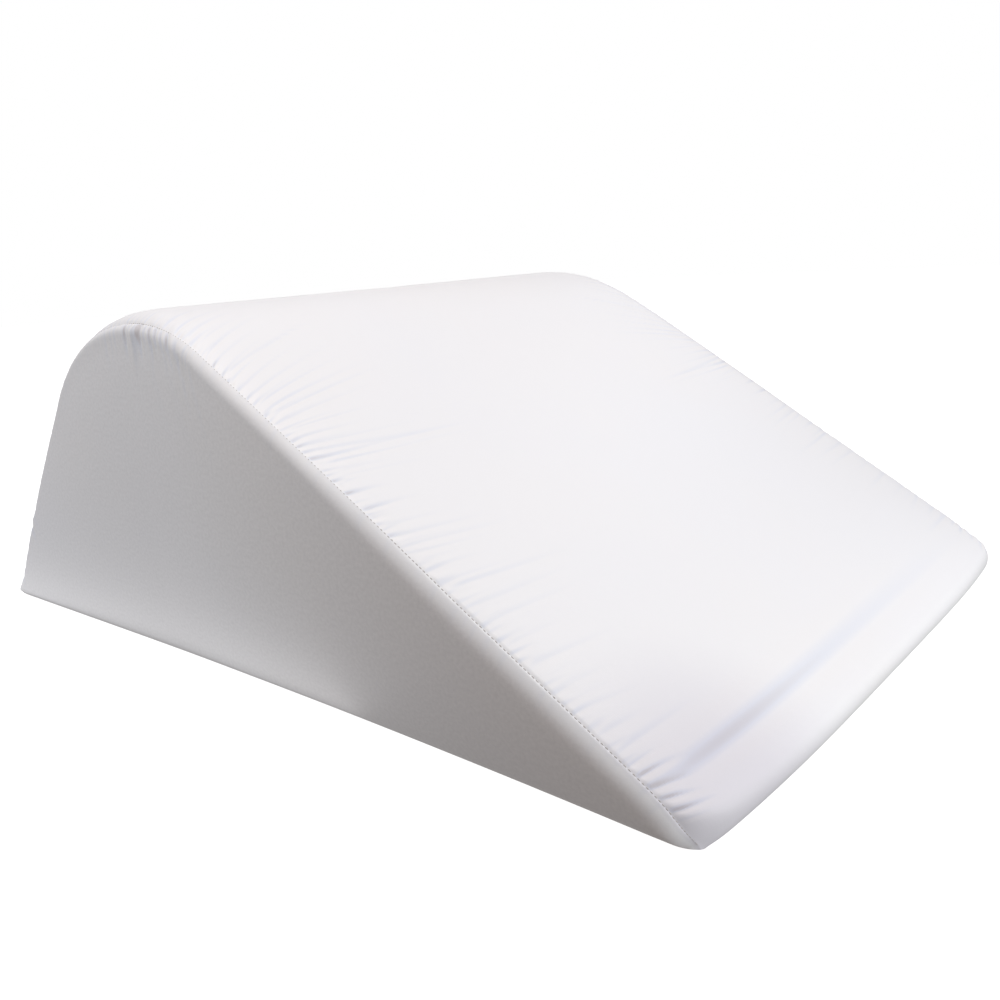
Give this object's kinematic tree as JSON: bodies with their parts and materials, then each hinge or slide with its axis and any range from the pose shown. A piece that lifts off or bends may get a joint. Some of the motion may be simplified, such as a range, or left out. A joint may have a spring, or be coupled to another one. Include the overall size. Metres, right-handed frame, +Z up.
{
  "type": "orthopedic wedge cushion",
  "caption": "Filled wedge cushion with a rounded crown, a long straight slope down to a low rounded toe, flat seamed side panels and a flat base.",
  "frame": {"origin": "centre of the cushion's bounding box, on the plane of its base", "axes": "+X along the length, from the steep back towards the low toe; +Z up, away from the base; Y across the width"},
  "size_m": [0.7, 0.4992, 0.25],
  "materials": {
    "cover_cloth": "white satin-weave cloth, softly shiny"
  },
  "bodies": {
    "root": {"wedge_cushion": "cover_cloth"}
  },
  "joints": []
}
